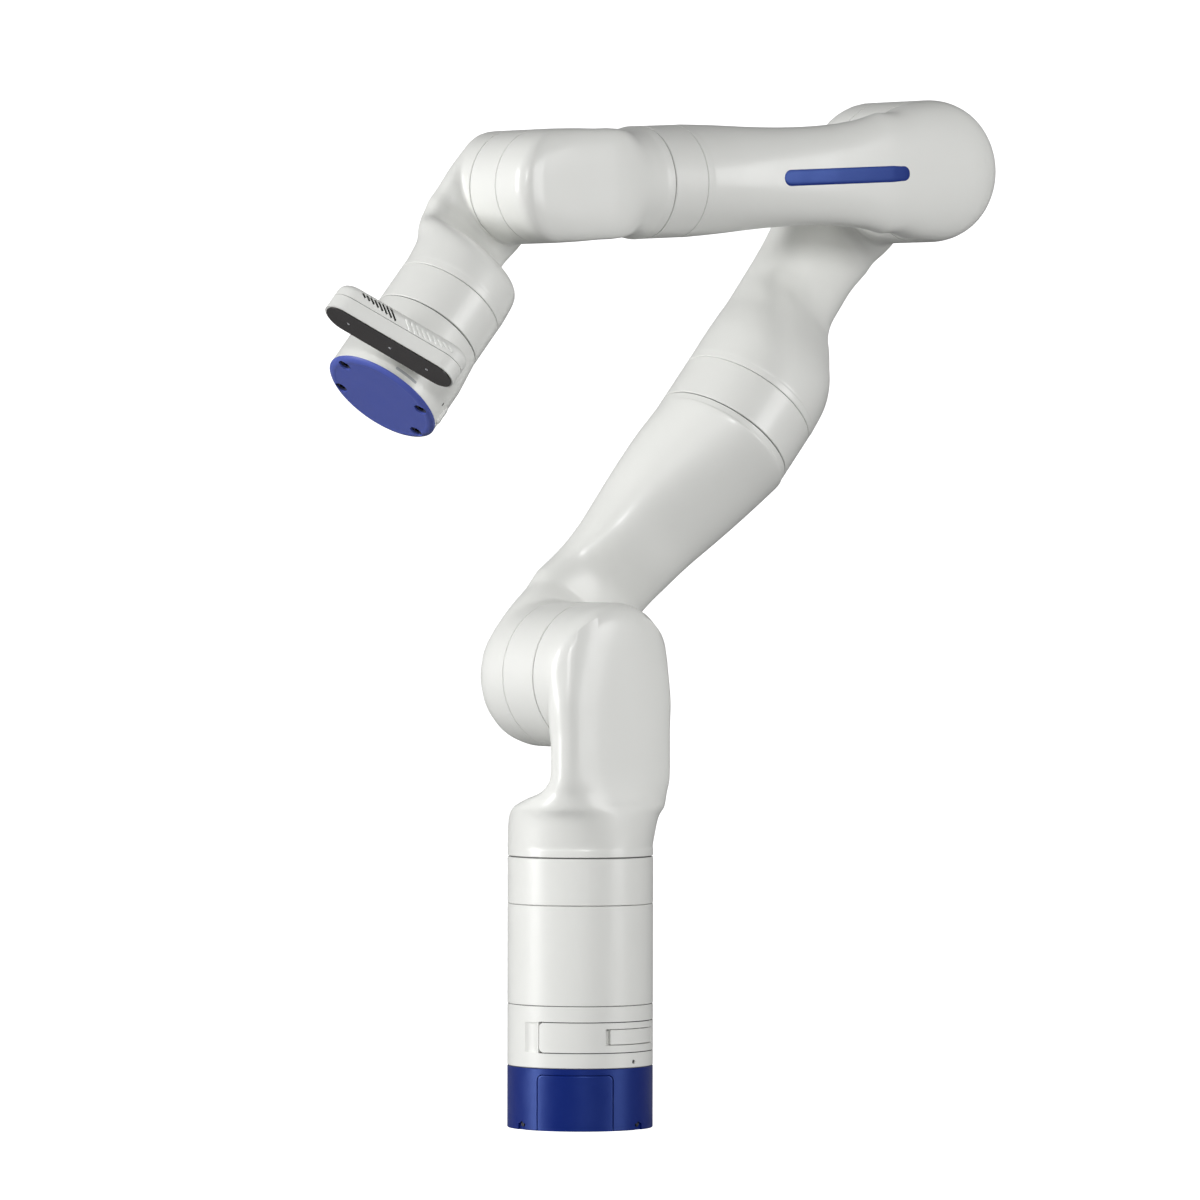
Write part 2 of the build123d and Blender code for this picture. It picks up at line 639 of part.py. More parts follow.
def cap_screws():
    head_low = CAP_FACE + CAP_HEAD_RECESS
    seat = CAP_FACE + CAP_BORE_DEPTH
    screw = disc(CAP_HEAD_R, head_low, seat) + disc(CAP_SCREW_R, seat, FLANGE_FACE + 4)
    screw -= Pos(0, 0, head_low) * extrude(RegularPolygon(HEX_R, 6), HEX_DEPTH)
    return Compound([Pos(x, y, 0) * screw for x, y in cap_places()])


def stadium(inset, low, high):
    """The module's outline, drawn in by inset, between two depths."""
    outline = SlotOverall(VISION_LENGTH - 2 * inset, VISION_HEIGHT - 2 * inset)
    return Pos(*VISION_CENTRE, low) * extrude(outline, high - low)


def vents():
    """Slanted slots in the module's outer side, longer towards the middle."""
    outer_side = VISION_CENTRE[1] - VISION_HEIGHT / 2
    for vent in range(VENT_COUNT):
        part = vent / (VENT_COUNT - 1)
        (x1, z1), (x2, z2) = (
            [a + (b - a) * part for a, b in zip(first, last)]
            for first, last in zip(FIRST_VENT, LAST_VENT))
        slant = degrees(atan2(z1 - z2, x2 - x1))
        slot = Rot(0, slant, 0) * Box(hypot(x2 - x1, z2 - z1), 5 * VISION_WALL, VENT_WIDTH)
        yield Pos((x1 + x2) / 2, outer_side, (z1 + z2) / 2) * slot


def vision_housing():
    """Rear half of the module's case, with its foot on the bracelet and its vents."""
    front = VISION_SPLIT + SEAM
    case = stadium(0, front, VISION_BACK)
    case = fillet(case.edges().group_by(Axis.Z)[-1], VISION_ROUND)
    foot = Box(*VISION_FOOT, VISION_BACK - front)
    foot = Pos(VISION_CENTRE[0] / 2, -R_BRACELET - 5, (VISION_BACK + front) / 2) * foot
    foot -= disc(R_BRACELET + SEAM / 2, CAP_FACE, 0)
    hollow = stadium(VISION_WALL, VISION_SPLIT - 1, VISION_BACK - VISION_WALL)
    hollow = fillet(hollow.edges().group_by(Axis.Z)[-1], VISION_ROUND - VISION_WALL)
    case = case + foot - hollow
    for slot in vents():
        case -= slot
    return case


def vision_bezel():
    bezel = stadium(0, VISION_FACE + WINDOW_RECESS, VISION_SPLIT)
    return bezel - stadium(VISION_WALL, VISION_FACE - 1, VISION_SPLIT + 1)


def vision_window():
    return stadium(VISION_WALL + WINDOW_PLAY, VISION_FACE, VISION_FACE + WINDOW_THICK)


def camera_lenses():
    lens = Cylinder(LENS_R, LENS_LENGTH)
    z = VISION_FACE + WINDOW_THICK + FIT + LENS_LENGTH / 2
    return Compound([Pos(VISION_CENTRE[0] + x, VISION_CENTRE[1], z) * lens for x in LENS_PLACES])


def vision_board():
    board = Box(VISION_LENGTH - VISION_HEIGHT, BOARD_WIDTH, BOARD_THICK)
    return Pos(*VISION_CENTRE, VISION_FACE + WINDOW_THICK + LENS_LENGTH + 2 * FIT + BOARD_THICK / 2) * board


def bracelet():
    frame = AFTER[6]
    pieces = {
        "bracelet_shell": bracelet_shell(),
        "tool_flange": tool_flange(),
        "end_cap": end_cap(),
        "cap_screws": cap_screws(),
        "vision_housing": vision_housing(),
        "vision_bezel": vision_bezel(),
        "vision_window": vision_window(),
        "camera_lenses": camera_lenses(),
        "vision_board": vision_board(),
    }
    return {name: frame * piece for name, piece in pieces.items()}


def main():
    os.makedirs("parts", exist_ok=True)
    for name, shape in (link_shells() | actuators() | base() | bracelet()).items():
        export_step(shape, f"parts/{name}.step")


main()
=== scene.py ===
import json
from math import cos, hypot, pi, radians, sin, sqrt

import bmesh
import bpy
from mathutils import Matrix, Vector


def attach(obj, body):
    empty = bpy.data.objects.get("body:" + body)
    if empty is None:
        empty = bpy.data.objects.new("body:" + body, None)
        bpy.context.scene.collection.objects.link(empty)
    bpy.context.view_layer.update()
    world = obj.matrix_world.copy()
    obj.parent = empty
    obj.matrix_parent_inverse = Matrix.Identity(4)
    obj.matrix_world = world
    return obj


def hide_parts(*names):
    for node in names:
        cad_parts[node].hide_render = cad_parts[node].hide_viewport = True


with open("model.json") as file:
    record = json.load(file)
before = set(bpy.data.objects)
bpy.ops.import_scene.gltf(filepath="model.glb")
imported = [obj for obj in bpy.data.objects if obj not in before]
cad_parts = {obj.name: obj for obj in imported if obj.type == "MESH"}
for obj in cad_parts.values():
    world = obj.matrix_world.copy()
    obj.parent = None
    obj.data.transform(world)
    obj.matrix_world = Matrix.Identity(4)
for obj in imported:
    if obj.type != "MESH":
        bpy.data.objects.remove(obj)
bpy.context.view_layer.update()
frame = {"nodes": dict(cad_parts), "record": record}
MM = 0.001

# ---- sizes, millimetres -------------------------------------------------------------------
R_BIG, R_SMALL, WALL = 45.9, 35.75, 3.0
SEAM, GAP, CHAMFER, FIT = 0.4, 0.8, 0.35, 0.3
LOOP = 1.2              # distance of a holding loop from an edge
SPIGOT, SPIGOT_ROOT = 5.0, 4.0
SEAL_DEPTH, SEAL_PLAY = 1.1, 0.1
CHAIN = [
    ((0, 0, 156.43), (180, 0, 0), 141.6),
    ((0, 5.375, -128.38), (90, 0, 0), -39.9),
    ((0, -210.38, -6.375), (-90, 0, 0), 180.0),
    ((0, 6.375, -210.38), (90, 0, 0), -132.9),
    ((0, -208.43, -6.375), (-90, 0, 0), 180.0),
    ((0, 0.175, -105.93), (90, 0, 0), 46.3),
    ((0, -105.93, -0.175), (-90, 0, 0), -40.2),
]
BANDS = {
    1: (R_BIG, 15.5, -14.9), 2: (R_BIG, -16.0, 15.0), 3: (R_BIG, -15.0, 15.7),
    4: (R_BIG, 15.2, -15.2), 5: (R_SMALL, 12.1, -14.8), 6: (R_SMALL, 13.4, -13.3),
    7: (R_SMALL, 11.1, -16.3),
}
BAND_BODIES = {1: "base", 2: "lower_arm", 3: "upper_arm", 4: "upper_arm", 5: "forearm",
               6: "wrist_1", 7: "wrist_2"}


# ---- frames -------------------------------------------------------------------------------
def place(offset=(0, 0, 0), turn=(0, 0, 0)):
    """Rigid transform in millimetres; turns are about the frame's own X, then Y, then Z."""
    x, y, z = (Matrix.Rotation(radians(a), 4, axis) for a, axis in zip(turn, "XYZ"))
    return Matrix.Translation(offset) @ x @ y @ z


def joint_frames():
    before, after, at = [], [], Matrix.Identity(4)
    for offset, turn, angle in CHAIN:
        fixed = at @ place(offset, turn)
        at = fixed @ place(turn=(0, 0, angle))
        before.append(fixed)
        after.append(at)
    return before, after


BEFORE, AFTER = joint_frames()


def basis(x_dir, z_dir):
    x, z = Vector(x_dir), Vector(z_dir)
    return Matrix((x, z.cross(x), z)).transposed().to_4x4()


def on_disc_joint(number):
    return AFTER[number - 1] @ basis((0, -1, 0), (0, 0, -1))


def on_next_joint(number):
    return BEFORE[number] @ basis((0, 1, 0), (0, 0, 1))


# ---- mesh helpers -------------------------------------------------------------------------
def make_object(name, vertices, faces, transform=None, sharp=32):
    mesh = bpy.data.meshes.new(name)
    transform = transform or Matrix.Identity(4)
    mesh.from_pydata([(transform @ Vector(v)) * MM for v in vertices], [], faces)
    work = bmesh.new()
    work.from_mesh(mesh)
    bmesh.ops.remove_doubles(work, verts=work.verts, dist=1e-7)
    bmesh.ops.recalc_face_normals(work, faces=work.faces)
    work.to_mesh(mesh)
    work.free()
    mesh.polygons.foreach_set("use_smooth", [True] * len(mesh.polygons))
    mesh.set_sharp_from_angle(angle=radians(sharp))
    piece = bpy.data.objects.new(name, mesh)
    bpy.context.collection.objects.link(piece)
    return piece


def loop_faces(rings, count, closed=False):
    """Quads between successive rings of count points; closed joins the last ring to the first."""
    pairs = [(k, k + 1) for k in range(rings - 1)] + ([(rings - 1, 0)] if closed else [])
    return [(a * count + i, a * count + (i + 1) % count, b * count + (i + 1) % count, b * count + i)
            for a, b in pairs for i in range(count)]


def lathe(name, profile, transform=None, count=192, closed=True):
    """Turns a profile of (radius, height) about Z; closed joins its two ends."""
    rings = [[(r * cos(2 * pi * i / count), r * sin(2 * pi * i / count), z) for i in range(count)]
             for r, z in profile]
    vertices = [v for ring in rings for v in ring]
    return make_object(name, vertices, loop_faces(len(rings), count, closed), transform)


def finish_piece(piece, body, node, material):
    piece.data.materials.clear()
    piece.data.materials.append(material)
    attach(piece, body)
    if node:
        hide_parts(node)
    return piece


# ---- materials ----------------------------------------------------------------------------
class Shader:
    """A node material built up in code, with the object's own coordinates at hand."""

    def __init__(self, name, **constants):
        self.material = bpy.data.materials.new(name)
        self.material.use_nodes = True
        self.tree = self.material.node_tree
        self.shader = self.tree.nodes["Principled BSDF"]
        self.place = self.node("ShaderNodeTexCoord").outputs["Object"]
        for socket, value in constants.items():
            self.shader.inputs[socket.replace("_", " ")].default_value = value

    def node(self, kind, **settings):
        node = self.tree.nodes.new(kind)
        for key, value in settings.items():
            setattr(node, key, value)
        return node

    def link(self, source, target):
        self.tree.links.new(source, target)

    def noise(self, scale, detail=3.0, roughness=0.5, stretch=(1, 1, 1)):
        mapping = self.node("ShaderNodeMapping")
        mapping.inputs["Scale"].default_value = stretch
        self.link(self.place, mapping.inputs["Vector"])
        noise = self.node("ShaderNodeTexNoise")
        noise.inputs["Scale"].default_value = scale
        noise.inputs["Detail"].default_value = detail
        noise.inputs["Roughness"].default_value = roughness
        self.link(mapping.outputs["Vector"], noise.inputs["Vector"])
        return noise.outputs["Fac"]

    def spread(self, source, low, high, from_low=0.3, from_high=0.7):
        remap = self.node("ShaderNodeMapRange")
        for socket, value in zip(("From Min", "From Max", "To Min", "To Max"),
                                 (from_low, from_high, low, high)):
            remap.inputs[socket].default_value = value
        self.link(source, remap.inputs["Value"])
        return remap.outputs["Result"]

    def mix(self, factor, first, second):
        mix = self.node("ShaderNodeMix", data_type="RGBA")
        for index, value in ((6, first), (7, second)):
            if isinstance(value, tuple):
                mix.inputs[index].default_value = (*value, 1)
            else:
                self.link(value, mix.inputs[index])
        self.link(factor, mix.inputs[0])
        return mix.outputs[2]

    def edges(self, low=0.505, high=0.56):
        return self.spread(self.node("ShaderNodeNewGeometry").outputs["Pointiness"], 0, 1, low, high)

    def colour(self, source):
        self.link(source, self.shader.inputs["Base Color"])

    def roughness(self, source):
        self.link(source, self.shader.inputs["Roughness"])

    def bump(self, *layers):
        """Stacked bumps, each (height source, depth in metres)."""
        normal = None
        for source, depth in layers:
            bump = self.node("ShaderNodeBump")
            bump.inputs["Strength"].default_value = 1.0
            bump.inputs["Distance"].default_value = depth
            self.link(source, bump.inputs["Height"])
            if normal:
                self.link(normal, bump.inputs["Normal"])
            normal = bump.outputs["Normal"]
        self.link(normal, self.shader.inputs["Normal"])


def moulded(name, base, deep, worn_and_highlit, rough, coat=0.0, peel=5e-6, grain=2e-6, edge_highlight_and_wear=False,
             glint=(1, 1, 1), shine=0.45):
    """Paint or moulded plastic: cloudy tone, fine orange peel, uneven gloss and light scuffs.

    Where the edge flag is set, the scuffs keep to the convex edges, and there their lighter colour is wear
    and also a painted highlight along the edges. This needs an evenly divided mesh."""
    made = Shader(name, Coat_Weight=coat, Coat_Roughness=0.12, Specular_IOR_Level=shine,
                  Specular_Tint=(*glint, 1))
    tone = made.mix(made.spread(made.noise(9, 4), 0, 1), base, deep)
    scuff_and_highlight = made.spread(made.noise(260, 5, 0.65), 0, 1 if edge_highlight_and_wear else 0.3, 0.55, 0.8)
    # Painted highlight: the lighter scuff colour is masked to the convex edges, which brightens them the
    # way catching light would, as well as showing wear.
    if edge_highlight_and_wear:
        rubbed_and_lit_edges = made.node("ShaderNodeMath", operation="MULTIPLY")
        made.link(made.edges(), rubbed_and_lit_edges.inputs[0])
        made.link(scuff_and_highlight, rubbed_and_lit_edges.inputs[1])
        scuff_and_highlight = rubbed_and_lit_edges.outputs[0]
    made.colour(made.mix(scuff_and_highlight, tone, worn_and_highlit))
    made.roughness(made.spread(made.noise(60, 4), rough - 0.04, rough + 0.05))
    made.bump((made.noise(900, 2), peel), (made.noise(5200, 2), grain))
    return made.material


def machined(name, base, rough, stretch=(1, 1, 40)):
    """Turned or ground metal with fine lay lines and faint smears."""
    made = Shader(name, Metallic=1.0)
    lines = made.noise(420, 3, 0.6, stretch)
    made.colour(made.mix(made.spread(made.noise(30, 4), 0, 1), base, tuple(0.8 * c for c in base)))
    made.roughness(made.spread(lines, rough - 0.08, rough + 0.12))
    made.bump((lines, 4e-6))
    return made.material


def dark_glass():
    made = Shader("dark_window", IOR=1.5, Coat_Weight=0.6, Coat_Roughness=0.03)
    smear = made.spread(made.noise(70, 5, 0.6), 0, 1, 0.4, 0.7)
    made.colour(made.mix(smear, (0.010, 0.007, 0.007), (0.016, 0.012, 0.012)))
    made.roughness(made.spread(made.noise(45, 4), 0.07, 0.16))
    made.bump((made.noise(40, 2), 3e-6))
    return made.material


WHITE = dict(base=(0.795, 0.80, 0.772), deep=(0.775, 0.78, 0.752), worn_and_highlit=(0.83, 0.83, 0.81))
# The arm paint carries the painted edge highlight and edge wear; the base paint below does not.
PAINT = moulded("arm_paint", **WHITE, rough=0.34, coat=0.15, edge_highlight_and_wear=True)
PLAIN_PAINT = moulded("base_paint", **WHITE, rough=0.34, coat=0.15)
CASE = moulded("case_plastic", (0.77, 0.775, 0.75), (0.75, 0.755, 0.73), (0.81, 0.81, 0.79), 0.42)
BLUE = moulded("cover_blue", (0.002, 0.013, 0.155), (0.0015, 0.011, 0.14), (0.005, 0.02, 0.18), 0.34,
               peel=8e-6, grain=4e-6, glint=(0.25, 0.40, 1.0), shine=0.95)
# End cap blue: its own blue, made lighter with a painted reflection of the floor and front light that
# brightens its flat face.
CAP_BLUE_AND_REFLECTION = moulded("cap_blue_and_reflection", (0.080, 0.115, 0.46), (0.074, 0.106, 0.43), (0.09, 0.125, 0.48), 0.34, 0.1,
                   8e-6, 4e-6)
# Dark plastic; it is also the colour of the painted shade in the base's seams and lever gap.
BLACK = moulded("black_plastic_and_seam_shade", (0.022, 0.022, 0.025), (0.016, 0.016, 0.018), (0.04, 0.04, 0.045), 0.55,
                0.0, 1.2e-5, 8e-6)
# Grey for buttons and lens marks; also used for the painted slot shade on the bracelet rim.
GREY = moulded("button_grey_and_slot_shade", (0.42, 0.43, 0.45), (0.38, 0.39, 0.41), (0.6, 0.6, 0.62), 0.4)
# Seal rings in the turning gaps; their dark colour also stands for painted shade in the gap.
SEAL_AND_GAP_SHADE = moulded("seal_rubber_and_gap_shade", (0.10, 0.10, 0.10), (0.08, 0.08, 0.08), (0.16, 0.16, 0.16), 0.7)
STEEL = machined("turned_steel", (0.56, 0.57, 0.58), 0.3)
DARK_STEEL = machined("black_oxide_steel", (0.10, 0.10, 0.11), 0.36, (1, 1, 1))
ALUMINIUM = machined("turned_aluminium", (0.75, 0.76, 0.78), 0.32)
DRIVE = machined("drive_casting", (0.30, 0.30, 0.32), 0.5, (1, 1, 1))
BOARD = moulded("circuit_board", (0.02, 0.11, 0.05), (0.015, 0.09, 0.04), (0.3, 0.25, 0.1), 0.4)
GLASS = dark_glass()

NODE_MATERIALS = {
    "arm_shell": PLAIN_PAINT, "blue_cover": BLUE, "dark_plastic": BLACK, "button": GREY,
    "module_case": CASE, "dark_glass": GLASS, "lens": GLASS, "steel": STEEL,
    "aluminium": ALUMINIUM, "drive": DRIVE, "board": BOARD,
}
NODE_EXCEPTIONS = {"end_cap": CAP_BLUE_AND_REFLECTION, "cap_screws": DARK_STEEL, "cover_screws": DARK_STEEL,
                   "set_screw": DARK_STEEL}


def dress_nodes():
    for part in frame["record"]["subparts"]:
        mesh = frame["nodes"][part["node"]].data
        material = NODE_EXCEPTIONS.get(part["node"]) or NODE_MATERIALS[part["material_slot"]]
        for k in range(len(mesh.materials)):
            mesh.materials[k] = material


# ---- link shells --------------------------------------------------------------------------
FAN = (7, 10.5, 14, 17, 20, 23, 26, 29, 32, 35, 38, 41.5, 45, 49, 53, 57.5, 62, 66.5, 71, 75.5, 80)
RING = 144
BARREL = 8.0
LINKS = {
    "shoulder": (on_next_joint(1), dict(
        radius=R_BIG, face=15.0, cap=48.4, edge=10.0, crotch=3.5, flat=4.0,
        stations=[(49.4, 18.5, 48.4, 44.0, 2.1, 4.0), (60, 18.2, 48.4, 44.0, 2.1, 4.0),
                  (67, 14.5, 48.6, 44.2, 2.1, 3.8), (73, 3.0, 49.0, 44.6, 2.1, 3.5),
                  (78, -16.0, 49.8, 46.2, 2.1, 3.3), (83, -30.0, 50.9, 47.0, 2.1, 3.0),
                  (90, -38.6, 51.4, 46.3, 2.0, 2.4)],
        end=(113.48, 5.375, R_BIG))),
    "lower_arm": (on_disc_joint(2), dict(
        radius=R_BIG, face=16.0, cap=52.4, edge=20.0, crotch=6.0, flat=2.7,
        stations=[(51.9, 22.0, 52.4, 40.5, 2.2, 2.7), (70, 20.5, 52.4, 36.4, 2.3, 2.7),
                  (84, 14.5, 52.4, 35.2, 2.4, 2.7), (98, 7.4, 52.5, 35.8, 2.4, 2.6),
                  (118, -0.5, 52.6, 38.0, 2.4, 2.5), (141, -12.5, 52.8, 41.4, 2.3, 2.3),
                  (165, -26.0, 52.7, 44.6, 2.1, 2.1)],
        end=(194.68, 6.375, R_BIG))),
    "upper_arm": (on_next_joint(3), dict(
        radius=R_BIG, face=15.2, cap=52.4, edge=20.0, crotch=6.0, flat=2.7,
        stations=[(51.9, 21.2, 52.4, 40.5, 2.2, 2.7), (70, 19.0, 52.0, 36.9, 2.3, 2.7),
                  (86, 15.5, 51.6, 35.2, 2.4, 2.7), (102, 12.6, 51.3, 34.9, 2.4, 2.6),
                  (115, 6.0, 51.0, 36.0, 2.4, 2.5), (128, -5.5, 50.8, 38.0, 2.4, 2.4),
                  (141, -16.5, 50.7, 40.0, 2.3, 2.3), (155, -27.5, 50.8, 43.0, 2.2, 2.2),
                  (170, -35.5, 51.4, 45.1, 2.1, 2.1)],
        end=(195.38, 6.375, R_BIG))),
    "forearm": (on_disc_joint(4), dict(
        radius=R_BIG, face=15.2, cap=52.4, edge=20.0, crotch=6.0, flat=2.7,
        stations=[(51.9, 21.2, 52.3, 38.6, 2.2, 2.7), (66, 19.5, 51.8, 35.0, 2.3, 2.7),
                  (84, 15.5, 50.9, 32.6, 2.4, 2.6), (104, 10.0, 49.6, 31.6, 2.4, 2.5),
                  (125, 1.5, 47.8, 31.7, 2.3, 2.4), (146, -9.5, 45.8, 32.8, 2.2, 2.3),
                  (168, -21.5, 43.6, 34.6, 2.1, 2.1)],
        end=(196.33, 6.375, R_SMALL))),
    "wrist_1": (on_next_joint(5), dict(
        radius=R_SMALL, face=13.4, cap=42.0, edge=8.0, crotch=4.0, flat=3.4,
        stations=[(39.75, 17.4, 42.0, 34.8, 2.2, 3.4), (49, 15.2, 41.4, 34.2, 2.2, 3.2),
                  (56, 6.5, 40.6, 33.6, 2.2, 3.0), (62, -7.5, 39.6, 33.2, 2.2, 2.7),
                  (68, -20.5, 38.4, 33.2, 2.2, 2.4), (74, -29.5, 37.2, 34.2, 2.1, 2.2)],
        end=(91.13, 0.175, R_SMALL))),
    "wrist_2": (on_disc_joint(6), dict(
        radius=R_SMALL, face=13.3, cap=42.0, edge=8.0, crotch=4.0, flat=3.4,
        stations=[(39.75, 17.3, 42.0, 33.4, 2.2, 3.4), (46.5, 15.6, 41.6, 32.4, 2.2, 3.2),
                  (51.5, 11.5, 41.2, 32.6, 2.2, 3.0), (55.5, 0.5, 40.8, 33.8, 2.2, 2.8),
                  (60, -14.0, 40.3, 35.2, 2.2, 2.6), (65.5, -26.0, 39.3, 35.7, 2.1, 2.3),
                  (73, -33.0, 37.6, 35.75, 2.0, 2.1)],
        end=(94.83, 0.175, R_SMALL))),
}


def ring_points(origin, up, low, high, half_width, inside, outside):
    """Closed superellipse across Y and up, squarer where its two exponents are larger."""
    middle, half_height = (low + high) / 2, (high - low) / 2
    points = []
    for step in range(RING):
        c, s = cos(2 * pi * step / RING), sin(2 * pi * step / RING)
        n = outside if s > 0 else inside
        size = (abs(c) ** n + abs(s) ** n) ** (-1 / n)
        points.append(Vector(origin) + Vector((0, half_width * c * size, 0))
                      + Vector(up) * (middle + half_height * s * size))
    return points


def reach(angle, pivot, radius, depth, edge):
    """How far a fan ring goes out at this angle: to the wall, the cap or the round edge between them."""
    slope = radians(angle)
    wall_hit = (pivot + radius) / cos(slope)
    if wall_hit * sin(slope) <= depth - edge:
        return wall_hit
    cap_hit = depth / sin(slope)
    if pivot - cap_hit * cos(slope) >= edge - radius:
        return cap_hit
    centre_x, centre_z = pivot + radius - edge, depth - edge
    along = centre_x * cos(slope) + centre_z * sin(slope)
    return along + sqrt(along ** 2 - hypot(centre_x, centre_z) ** 2 + edge ** 2)


def ease(value):
    value = min(max(value, 0), 1)
    return value * value * (3 - 2 * value)


def refine(stations, parts):
    """Smooth curve through the stations, with this many parts between neighbours."""
    fine, last = [], len(stations) - 1
    for k in range(last):
        before, start, stop, after = (stations[min(max(k + n, 0), last)] for n in (-1, 0, 1, 2))
        for t in (part / parts for part in range(parts)):
            fine.append(tuple(
                b + (c - a) / 2 * t + (a - 2.5 * b + 2 * c - d / 2) * t ** 2
                + (1.5 * (b - c) + (d - a) / 2) * t ** 3
                for a, b, c, d in zip(before, start, stop, after)))
    return fine + [stations[last]]


def fan_ring(link, angle, inset, lift=0.0):
    """Ring that turns about the crotch, from the joint's round face to the link's first station."""
    radius = link["radius"] - inset
    pivot = link["radius"] + link["crotch"]
    slope = radians(angle)
    blend = ease((angle - 12) / 55)
    half_width = radius + (link["stations"][0][3] - inset - radius) * blend
    high = reach(angle, pivot, radius, link["cap"] - link["face"] - inset, link["edge"] - inset / 2)
    return ring_points((pivot, 0, link["face"] + lift), (-cos(slope), 0, sin(slope)),
                       link["crotch"] + inset, high, half_width,
                       2 + (link["stations"][0][4] - 2) * blend,
                       2 + (link["flat"] - 2) * ease((angle - 15) / 30))


def link_rings(link, inset, fan, parts):
    end, centre, end_radius = link["end"]
    barrel = (centre - end_radius, centre + end_radius, end_radius, 2, 2)
    stations = link["stations"] + [(end - BARREL, *barrel), (end - BARREL / 2, *barrel)]
    rings = [fan_ring(link, angle, inset) for angle in fan]
    for x, low, high, half_width, inside, outside in refine(stations, parts):
        rings.append(ring_points((x, 0, 0), (0, 0, 1), low + inset, high - inset,
                                 half_width - inset, inside, outside))
    return rings


def end_ring(link, back, inset):
    end, centre, radius = link["end"]
    radius -= inset
    return ring_points((end - back, 0, 0), (0, 0, 1), centre - radius, centre + radius, radius, 2, 2)


def link_piece(name, transform, link):
    outer = [fan_ring(link, 0, CHAMFER), fan_ring(link, 0, 0, CHAMFER)]
    outer += link_rings(link, 0, FAN, 8)
    outer += [end_ring(link, CHAMFER, 0), end_ring(link, 0, CHAMFER)]
    inner = [fan_ring(link, 0, WALL)] + link_rings(link, WALL, FAN[::3], 2) + [end_ring(link, 0, WALL)]
    rings = outer + inner[::-1]
    vertices = [v for ring in rings for v in ring]
    piece = make_object(f"{name}_casting", vertices, loop_faces(len(rings), RING, True), transform, 40)
    return finish_piece(piece, name, f"{name}_shell", PAINT)


def chamfered(radius, low, high):
    """Outer profile of a ring with broken edges, and loops beside them that keep its wall straight."""
    return [(radius - CHAMFER, low), (radius, low + CHAMFER), (radius, low + LOOP),
            (radius, high - LOOP), (radius, high - CHAMFER), (radius - CHAMFER, high)]


def band_piece(number):
    radius, fixed, turning = BANDS[number]
    width = abs(turning - fixed)
    inside, fitted = radius - WALL, radius - WALL - FIT
    top = width - GAP
    profile = chamfered(radius, SEAM, top) + [
        (inside, top), (inside, SPIGOT_ROOT), (inside - WALL, SPIGOT_ROOT),
        (inside - WALL, -SPIGOT), (fitted, -SPIGOT), (fitted, SEAM)]
    at = AFTER[number - 1] @ place((0, 0, fixed), (180 if turning < fixed else 0, 0, 0))
    band = lathe(f"joint_{number}_ring", profile, at)
    finish_piece(band, BAND_BODIES[number], f"joint_{number}_band", PAINT)
    # A dark seal ring in each turning gap: partly a seal, and its dark colour is also painted shade for
    # the gap.
    outer, low, high = radius - SEAL_DEPTH, top + SEAL_PLAY, width - SEAL_PLAY
    seal = lathe(f"joint_{number}_seal", [(outer, low), (outer, high), (inside, high), (inside, low)], at)
    return finish_piece(seal, BAND_BODIES[number], None, SEAL_AND_GAP_SHADE)


# ---- base ---------------------------------------------------------------------------------
COVER_TOP, CLAMP_TOP, BAND_1_BOTTOM = 39.4, 78.4, 140.93
COVER_SEAM_INNER, CLAMP_SEAM_INNER = 38.6, 42.7
# Sizes of the dark rings and strips painted as shade in the base's seams and lever gap.
SEAM_SHADE_DEPTH, SEAM_SHADE_PLAY = 0.45, 0.02
LEVER_LOW, LEVER_TOP, LEVER_GAP = 49.2, 67.8, 0.6
STRIP_FROM, STRIP_TO, STRIP_STEPS = -31.0, 92.0, 80
STRIP_INNER, STRIP_HALF = 42.2, 0.25
PANEL_FROM, PANEL_TO, PANEL_TOP = -36.0, 27.0, 35.0
PANEL_CORNER, PANEL_DEPTH, PANEL_EDGE = 3.5, 2.4, 0.8
PANEL_BORDER = (0, 0.05, 0.14, 0.26, 0.4, 0.58, 0.8, 1.2, 1.7, 2.3, 2.9, 3.5)
PANEL_COLUMNS, PANEL_ROWS = 30, 12


def base_piece():
    inside = R_BIG - WALL
    shell = lathe("base_casting", chamfered(R_BIG, CLAMP_TOP, BAND_1_BOTTOM)
                  + [(inside, BAND_1_BOTTOM), (inside, CLAMP_TOP)])
    return finish_piece(shell, "base", "base_shell", PAINT)


def seam_shades():
    """Painted shade: dark rings in the two fixed seams of the base, and dark strips above and below the
    lever, stand for the shadow inside these gaps.
    """
    outer = R_BIG - SEAM_SHADE_DEPTH
    for name, top, inner in (("cover_seam_shade", COVER_TOP, COVER_SEAM_INNER),
                             ("clamp_seam_shade", CLAMP_TOP, CLAMP_SEAM_INNER)):
        low, high = top - SEAM + SEAM_SHADE_PLAY, top - SEAM_SHADE_PLAY
        ring = lathe(name, [(outer, low), (outer, high), (inner, high), (inner, low)])
        finish_piece(ring, "base", None, BLACK)
    corners = ((STRIP_INNER, -STRIP_HALF), (outer, -STRIP_HALF),
               (outer, STRIP_HALF), (STRIP_INNER, STRIP_HALF))
    for name, middle in (("lever_seam_shade_top", LEVER_TOP + LEVER_GAP / 2),
                         ("lever_seam_shade_bottom", LEVER_LOW - LEVER_GAP / 2)):
        rings = []
        for step in range(STRIP_STEPS + 1):
            turn = radians(STRIP_FROM + (STRIP_TO - STRIP_FROM) * step / STRIP_STEPS - 90)
            rings += [(r * cos(turn), r * sin(turn), middle + z) for r, z in corners]
        ends = [(0, 1, 2, 3), tuple(range(4 * STRIP_STEPS, 4 * STRIP_STEPS + 4))]
        strip = make_object(name, rings, loop_faces(STRIP_STEPS + 1, 4) + ends)
        finish_piece(strip, "base", None, BLACK)


